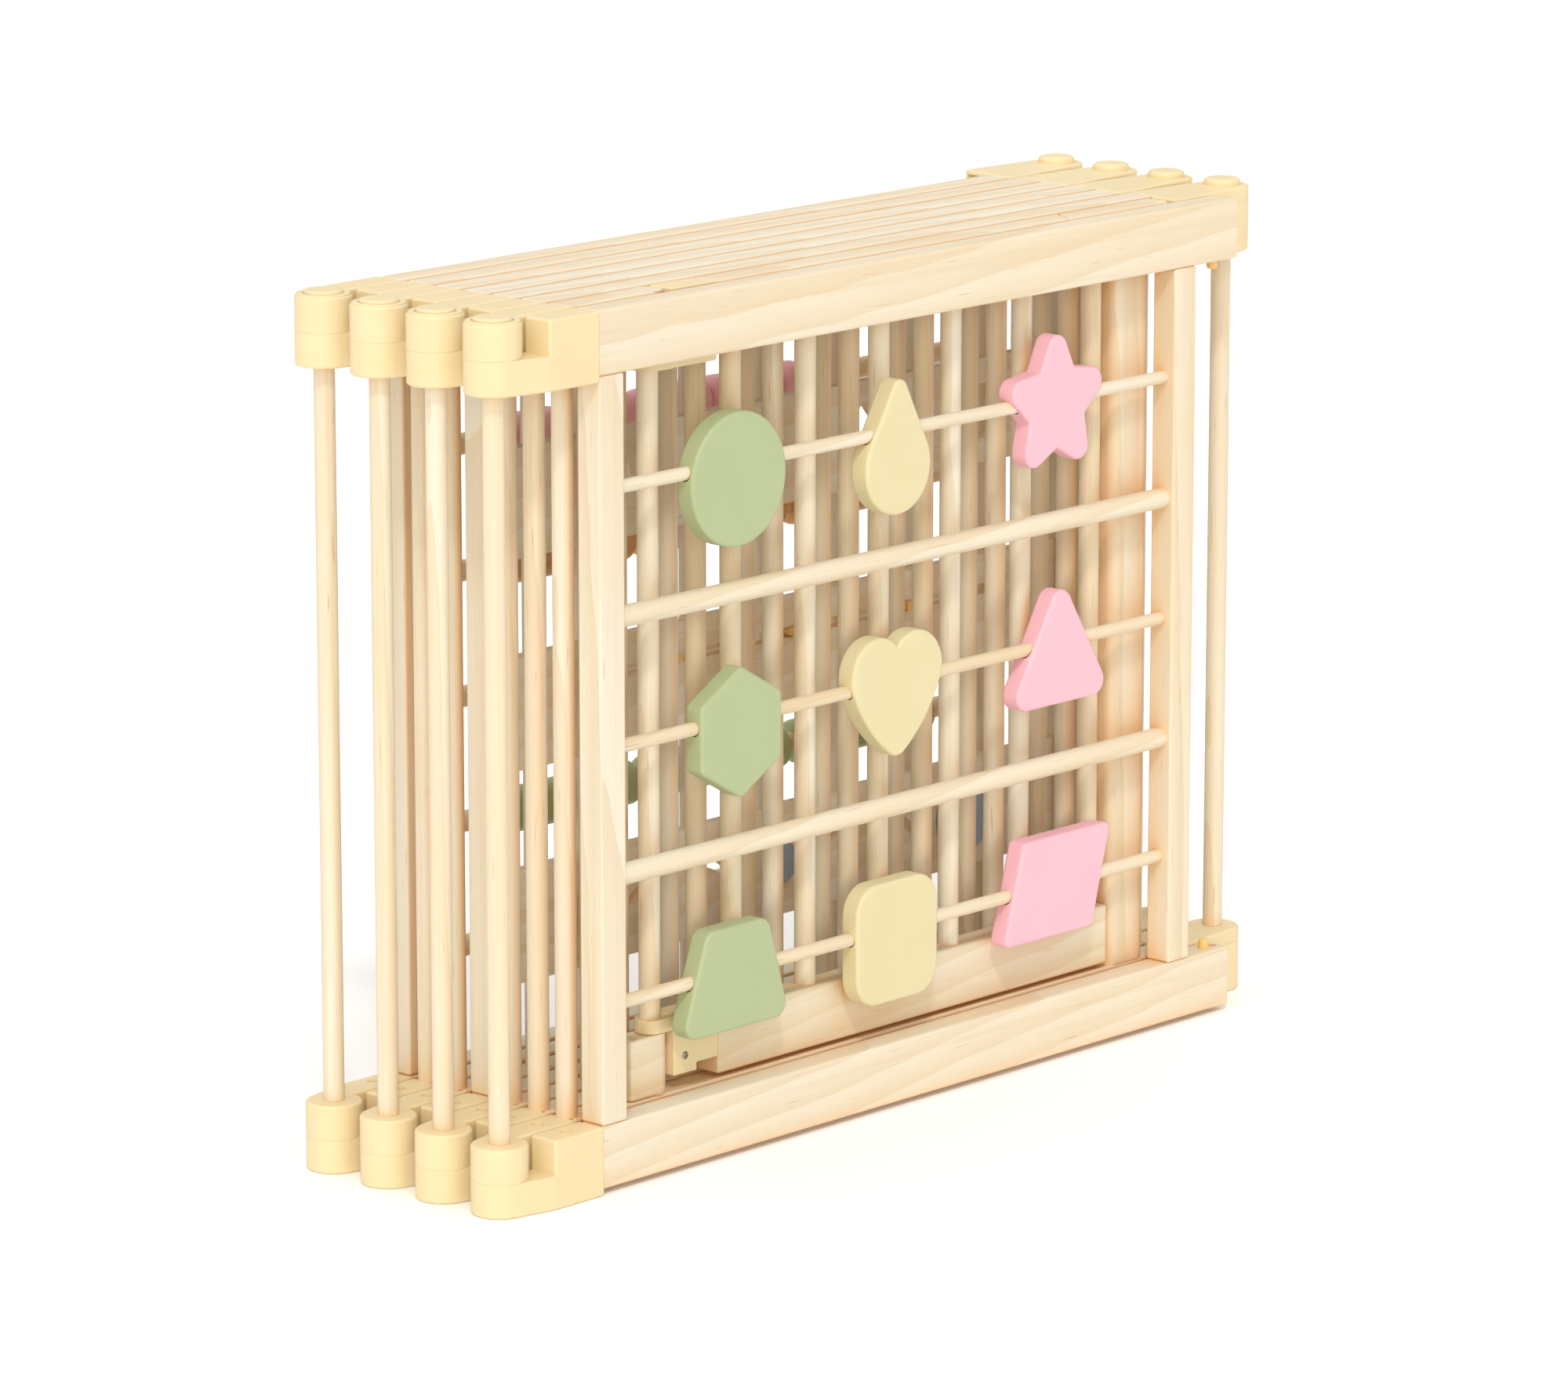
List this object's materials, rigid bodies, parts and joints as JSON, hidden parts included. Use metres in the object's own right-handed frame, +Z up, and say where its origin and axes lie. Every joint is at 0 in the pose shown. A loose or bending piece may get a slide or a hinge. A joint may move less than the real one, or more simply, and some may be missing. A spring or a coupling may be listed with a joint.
{
  "type": "playpen",
  "caption": "Folding wooden playpen of slatted and activity panels hinged in a zig-zag chain, with a gate and sliding shape toys, folded flat.",
  "frame": {"origin": "centre of the folded pack's footprint at the floor", "axes": "+Z up, +X along the panels towards the plate hinges, -Y towards the side with the shape toys"},
  "size_m": [0.8164, 0.236, 0.609],
  "materials": {
    "pine": "smooth clear-coated pine",
    "brown_wood": "smooth stained wood",
    "pale_plastic": "satin moulded plastic",
    "green_paint": "satin painted wood",
    "yellow_paint": "satin painted wood",
    "pink_paint": "satin painted wood",
    "blue_paint": "satin painted wood"
  },
  "bodies": {
    "panel_1": {"p1_rails": "pine", "p1_stiles": "pine", "p1_thick_rods": "pine", "p1_thin_rods": "pine", "p1_castings": "pale_plastic", "p1_pegs": "pale_plastic", "p1_hinge_dowels": "pine"},
    "panel_2": {"p2_rails": "pine", "p2_slats": "pine", "p2_pivot_block": "pine", "p2_post": "pine", "p2_castings": "pale_plastic", "p2_caps": "pale_plastic"},
    "gate": {"gate_rails": "pine", "gate_latch": "pine", "gate_slats": "pine", "gate_brackets": "pale_plastic"},
    "panel_3": {"p3_rails": "pine", "p3_slats": "pine", "p3_castings": "pale_plastic", "p3_hinge_dowels": "pine"},
    "panel_4": {"p4_rails": "pine", "p4_slats": "pine", "p4_castings": "pale_plastic", "p4_caps": "pale_plastic"},
    "panel_5": {"p5_rails": "pine", "p5_stiles": "pine", "p5_board_top": "pine", "p5_board_middle": "pine", "p5_board_bottom": "pine", "p5_slot_studs": "yellow_paint", "p5_wheels": "blue_paint", "p5_castings": "pale_plastic", "p5_hinge_dowels": "pine"},
    "panel_6": {"p6_rails": "pine", "p6_slats": "pine", "p6_castings": "pale_plastic", "p6_caps": "pale_plastic"},
    "panel_7": {"p7_rails": "pine", "p7_slats": "pine", "p7_castings": "pale_plastic", "p7_hinge_dowels": "pine"},
    "panel_8": {"p8_rails": "pine", "p8_stiles": "pine", "p8_rods": "pine", "p8_castings": "pale_plastic", "p8_caps": "pale_plastic", "p8_hinge_dowel": "pine"},
    "pink_beads": {"p8_beads": "pink_paint"},
    "brown_rollers": {"p8_brown_rollers": "brown_wood"},
    "green_rollers": {"p8_green_rollers": "green_paint"},
    "circle_toy": {"toy_circle": "green_paint"},
    "drop_toy": {"toy_drop": "yellow_paint"},
    "star_toy": {"toy_star": "pink_paint"},
    "hexagon_toy": {"toy_hexagon": "green_paint"},
    "heart_toy": {"toy_heart": "yellow_paint"},
    "triangle_toy": {"toy_triangle": "pink_paint"},
    "trapezoid_toy": {"toy_trapezoid": "green_paint"},
    "square_toy": {"toy_square": "yellow_paint"},
    "parallelogram_toy": {"toy_parallelogram": "pink_paint"}
  },
  "joints": [
    {"name": "hinge_1_2", "type": "hinge", "parent": "panel_1", "child": "panel_2", "pos_m": [-0.38875, -0.08987, 0.3], "axis": [0, 0, 1], "range_deg": [0, 180]},
    {"name": "hinge_2_3", "type": "hinge", "parent": "panel_2", "child": "panel_3", "pos_m": [0.38875, -0.06338, 0.3], "axis": [0, 0, -1], "range_deg": [0, 180]},
    {"name": "hinge_3_4", "type": "hinge", "parent": "panel_3", "child": "panel_4", "pos_m": [-0.38875, -0.03687, 0.3], "axis": [0, 0, 1], "range_deg": [0, 135]},
    {"name": "hinge_4_5", "type": "hinge", "parent": "panel_4", "child": "panel_5", "pos_m": [0.38875, -0.01038, 0.3], "axis": [0, 0, -1], "range_deg": [0, 135]},
    {"name": "hinge_5_6", "type": "hinge", "parent": "panel_5", "child": "panel_6", "pos_m": [-0.38875, 0.01613, 0.3], "axis": [0, 0, 1], "range_deg": [0, 135]},
    {"name": "hinge_6_7", "type": "hinge", "parent": "panel_6", "child": "panel_7", "pos_m": [0.38875, 0.04263, 0.3], "axis": [0, 0, -1], "range_deg": [0, 135]},
    {"name": "hinge_7_8", "type": "hinge", "parent": "panel_7", "child": "panel_8", "pos_m": [-0.38875, 0.06913, 0.3], "axis": [0, 0, 1], "range_deg": [0, 180]},
    {"name": "gate_swing", "type": "hinge", "parent": "panel_2", "child": "gate", "pos_m": [-0.22975, -0.07662, 0.3], "axis": [0, 0, 1], "range_deg": [-90, 0]},
    {"name": "circle_slide", "type": "slide", "parent": "panel_1", "child": "circle_toy", "axis": [1, 0, 0], "range_m": [-0.066, 0.039]},
    {"name": "drop_slide", "type": "slide", "parent": "panel_1", "child": "drop_toy", "axis": [1, 0, 0], "range_m": [-0.039, 0.042]},
    {"name": "star_slide", "type": "slide", "parent": "panel_1", "child": "star_toy", "axis": [1, 0, 0], "range_m": [-0.042, 0.075]},
    {"name": "hexagon_slide", "type": "slide", "parent": "panel_1", "child": "hexagon_toy", "axis": [1, 0, 0], "range_m": [-0.075, 0.035]},
    {"name": "heart_slide", "type": "slide", "parent": "panel_1", "child": "heart_toy", "axis": [1, 0, 0], "range_m": [-0.035, 0.038]},
    {"name": "triangle_slide", "type": "slide", "parent": "panel_1", "child": "triangle_toy", "axis": [1, 0, 0], "range_m": [-0.038, 0.069]},
    {"name": "trapezoid_slide", "type": "slide", "parent": "panel_1", "child": "trapezoid_toy", "axis": [1, 0, 0], "range_m": [-0.059, 0.034]},
    {"name": "square_slide", "type": "slide", "parent": "panel_1", "child": "square_toy", "axis": [1, 0, 0], "range_m": [-0.034, 0.035]},
    {"name": "parallelogram_slide", "type": "slide", "parent": "panel_1", "child": "parallelogram_toy", "axis": [1, 0, 0], "range_m": [-0.035, 0.062]},
    {"name": "pink_beads_spin", "type": "hinge", "parent": "panel_8", "child": "pink_beads", "pos_m": [0, 0.08238, 0.481], "axis": [1, 0, 0], "continuous": true},
    {"name": "brown_rollers_spin", "type": "hinge", "parent": "panel_8", "child": "brown_rollers", "pos_m": [0, 0.08238, 0.3926], "axis": [1, 0, 0], "continuous": true},
    {"name": "green_rollers_spin", "type": "hinge", "parent": "panel_8", "child": "green_rollers", "pos_m": [0, 0.08238, 0.2158], "axis": [1, 0, 0], "continuous": true}
  ],
  "couplings": [
    {"joint": "gate_swing", "follows": "hinge_1_2", "ratio": -0.5}
  ]
}
